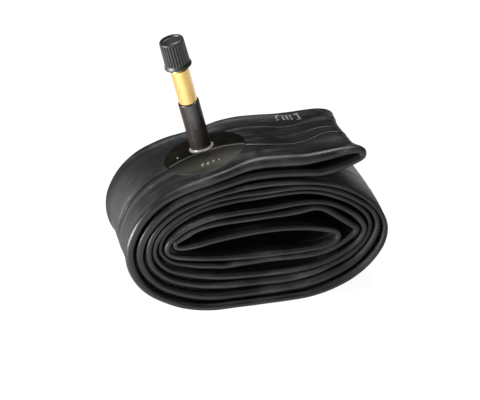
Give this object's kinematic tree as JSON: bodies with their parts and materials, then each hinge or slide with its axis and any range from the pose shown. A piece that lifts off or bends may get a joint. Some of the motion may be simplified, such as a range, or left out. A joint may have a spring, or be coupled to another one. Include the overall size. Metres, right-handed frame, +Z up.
{
  "type": "inner tube",
  "caption": "Bicycle inner tube pressed flat and rolled up, with a rubber-covered Schrader valve, its screw-in core and a ribbed dust cap.",
  "frame": {"origin": "on the ground under the middle of the rolled tube's bounding box", "axes": "+Z up, X along the long side of the roll with the loose end pointing to +X, Y across the flattened tube"},
  "size_m": [0.112, 0.05, 0.1154],
  "materials": {
    "butyl": "satin black butyl with a trace of talc",
    "patch_rubber": "glossy moulded rubber",
    "stem_rubber": "satin moulded rubber",
    "brass": "bright turned brass",
    "nylon": "natural nylon",
    "spring_steel": "drawn spring wire",
    "seal_rubber": "soft sealing rubber",
    "cap_plastic": "moulded black plastic"
  },
  "bodies": {
    "tube": {"tube": "butyl", "valve_pad": "patch_rubber", "stem_cover": "stem_rubber", "stem_insert": "brass"},
    "cap_lift": {"cap_seal": "seal_rubber"},
    "cap": {"valve_cap": "cap_plastic"},
    "core": {"core_barrel": "brass", "core_gasket": "nylon", "core_spring": "spring_steel"},
    "plug": {"core_plug": "brass"},
    "pin": {"core_pin": "brass", "pin_collar": "brass", "core_cup": "brass", "core_washer": "seal_rubber"}
  },
  "joints": [
    {"name": "cap_rise", "type": "slide", "parent": "tube", "child": "cap_lift", "axis": [-0.243, -0.0698, 0.9675], "range_m": [0, 0.00873]},
    {"name": "cap_turn", "type": "hinge", "parent": "cap_lift", "child": "cap", "pos_m": [-0.01824, 0.002, 0.06372], "axis": [-0.243, -0.0698, 0.9675], "range_deg": [0, 3960]},
    {"name": "core_rise", "type": "slide", "parent": "tube", "child": "core", "axis": [-0.243, -0.0698, 0.9675], "range_m": [0, 0.00141]},
    {"name": "core_turn", "type": "hinge", "parent": "core", "child": "plug", "pos_m": [-0.01824, 0.002, 0.06372], "axis": [-0.243, -0.0698, 0.9675], "range_deg": [0, 720]},
    {"name": "pin_press", "type": "slide", "parent": "core", "child": "pin", "axis": [0.243, 0.0698, -0.9675], "range_m": [0, 0.0015], "stiffness_N_per_m": 400, "springref_m": -0.001, "deforming": ["core_spring"]}
  ],
  "couplings": [
    {"joint": "cap_turn", "follows": "cap_rise", "rad_per_m": 7915.8},
    {"joint": "core_turn", "follows": "core_rise", "rad_per_m": 8905.3}
  ]
}
